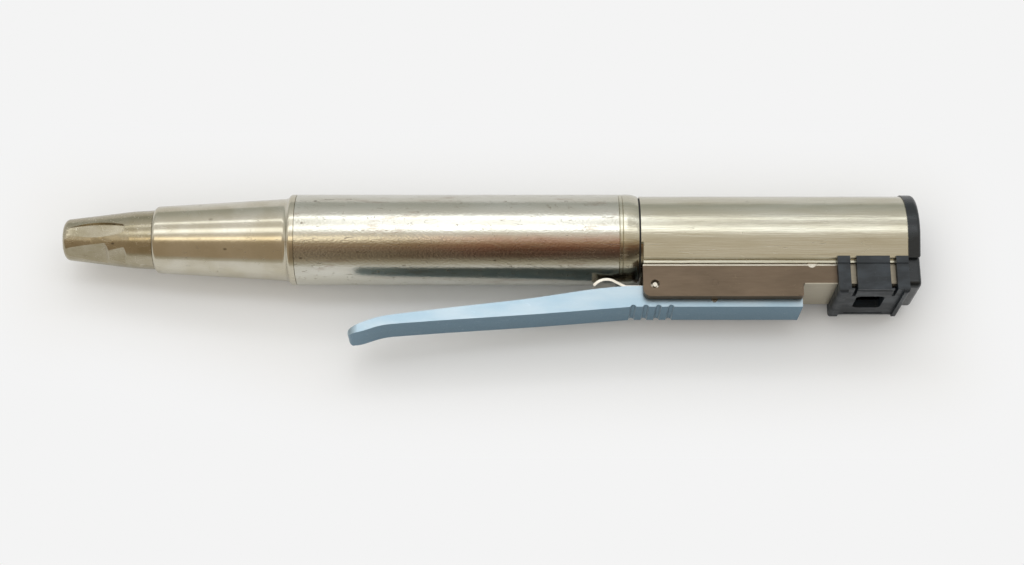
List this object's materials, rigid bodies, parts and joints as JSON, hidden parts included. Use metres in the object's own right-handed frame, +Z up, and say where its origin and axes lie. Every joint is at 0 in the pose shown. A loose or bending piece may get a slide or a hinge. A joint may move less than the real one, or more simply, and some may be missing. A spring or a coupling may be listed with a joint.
{
  "type": "surgical handpiece",
  "caption": "Pencil-shaped powered handpiece with a turning collet collar, a reciprocating spindle, a sprung thumb lever and a rear cord socket.",
  "frame": {"origin": "on the tool axis at the mouth of the blade socket, level with the collar's front face", "axes": "+X along the tool axis from the nose to the rear, the thumb lever hangs towards -Y, +Z up from the table the part lies on"},
  "size_m": [0.161, 0.0286, 0.0172],
  "materials": {
    "tip_steel": "turned stainless, lightly tarnished",
    "cone_steel": "fine turned stainless",
    "barrel_steel": "polished stainless with scuffs",
    "housing_steel": "satin stainless",
    "bracket_steel": "bead-blasted stainless",
    "inner_steel": "ground steel",
    "spring_steel": "spring steel, bright",
    "lever_alloy": "blue anodised",
    "bronze": "sintered bronze",
    "rubber": "moulded rubber",
    "core_steel": "laminated electrical steel",
    "copper": "enamelled copper",
    "magnet": "nickel-plated magnet",
    "board": "solder-masked board",
    "chip": "moulded chip bodies",
    "lead_cover": "wire insulation",
    "contact": "gold-plated contacts",
    "insert_plastic": "black connector plastic",
    "clip_plastic": "dark grey moulded plastic",
    "cap_plastic": "dark grey moulded plastic, slightly glossy"
  },
  "bodies": {
    "frame": {"collar_spring": "spring_steel", "nose_cone": "cone_steel", "front_bush": "bronze", "rear_bush": "bronze", "nose_seal": "rubber", "guide_key": "inner_steel", "drum_bearing_front": "inner_steel", "drum_bearing_rear": "inner_steel", "gear_case": "inner_steel", "ring_gear": "inner_steel", "motor_can": "inner_steel", "motor_front_plate": "inner_steel", "motor_rear_plate": "inner_steel", "motor_front_bearing": "inner_steel", "motor_rear_bearing": "inner_steel", "stator_stack": "core_steel", "stator_windings": "copper", "motor_leads": "lead_cover", "barrel": "barrel_steel", "retaining_ring": "housing_steel", "gasket": "rubber", "rear_housing": "housing_steel", "lever_bracket": "bracket_steel", "bracket_screws": "inner_steel", "pivot_pin": "spring_steel", "stop_pin": "bracket_steel", "detent_pins": "spring_steel", "clip_block": "clip_plastic", "sensor_board": "board", "sensor_chips": "chip", "connector_insert": "insert_plastic", "connector_contacts": "contact", "end_cap": "cap_plastic", "cap_screws": "spring_steel"},
    "collar": {"collet_collar": "tip_steel"},
    "spindle": {"blade_spindle": "inner_steel", "lock_pin": "inner_steel", "drive_yoke": "inner_steel", "follower_pin": "inner_steel"},
    "drum": {"cam_drum": "inner_steel", "planet_carrier": "inner_steel", "planet_pins": "inner_steel"},
    "planet_1": {"planet_gear_1": "inner_steel"},
    "planet_2": {"planet_gear_2": "inner_steel"},
    "planet_3": {"planet_gear_3": "inner_steel"},
    "rotor": {"rotor_shaft": "inner_steel", "rotor_magnet": "magnet", "sun_pinion": "inner_steel"},
    "lever": {"thumb_lever": "lever_alloy", "lever_magnet": "magnet", "lever_cross_pin": "spring_steel", "leaf_spring": "spring_steel", "leaf_screw": "spring_steel"}
  },
  "joints": [
    {"name": "collar_turn", "type": "hinge", "parent": "frame", "child": "collar", "pos_m": [0.008, 0, 0], "axis": [1, 0, 0], "range_deg": [0, 30], "stiffness_Nm_per_rad": 0.02, "deforming": ["collar_spring"]},
    {"name": "spindle_stroke", "type": "slide", "parent": "frame", "child": "spindle", "axis": [1, 0, 0], "range_m": [-0.0015, 0.0015]},
    {"name": "rotor_spin", "type": "hinge", "parent": "frame", "child": "rotor", "pos_m": [0.085, 0, 0], "axis": [1, 0, 0], "continuous": true},
    {"name": "drum_spin", "type": "hinge", "parent": "frame", "child": "drum", "pos_m": [0.054, 0, 0], "axis": [1, 0, 0], "continuous": true},
    {"name": "planet_1_spin", "type": "hinge", "parent": "drum", "child": "planet_1", "pos_m": [0.075, 0.00408, 0], "axis": [1, 0, 0], "continuous": true},
    {"name": "planet_2_spin", "type": "hinge", "parent": "drum", "child": "planet_2", "pos_m": [0.075, -0.00204, 0.00353], "axis": [1, 0, 0], "continuous": true},
    {"name": "planet_3_spin", "type": "hinge", "parent": "drum", "child": "planet_3", "pos_m": [0.075, -0.00204, -0.00353], "axis": [1, 0, 0], "continuous": true},
    {"name": "lever_press", "type": "hinge", "parent": "frame", "child": "lever", "pos_m": [0.1112, -0.01093, 0], "axis": [0, 0, -1], "range_deg": [0, 8.5], "stiffness_Nm_per_rad": 0.4, "springref_deg": -5.73, "deforming": ["leaf_spring"]}
  ],
  "couplings": [
    {"joint": "drum_spin", "follows": "rotor_spin", "ratio": 0.25},
    {"joint": "planet_1_spin", "follows": "rotor_spin", "ratio": -0.75},
    {"joint": "planet_2_spin", "follows": "rotor_spin", "ratio": -0.75},
    {"joint": "planet_3_spin", "follows": "rotor_spin", "ratio": -0.75}
  ]
}
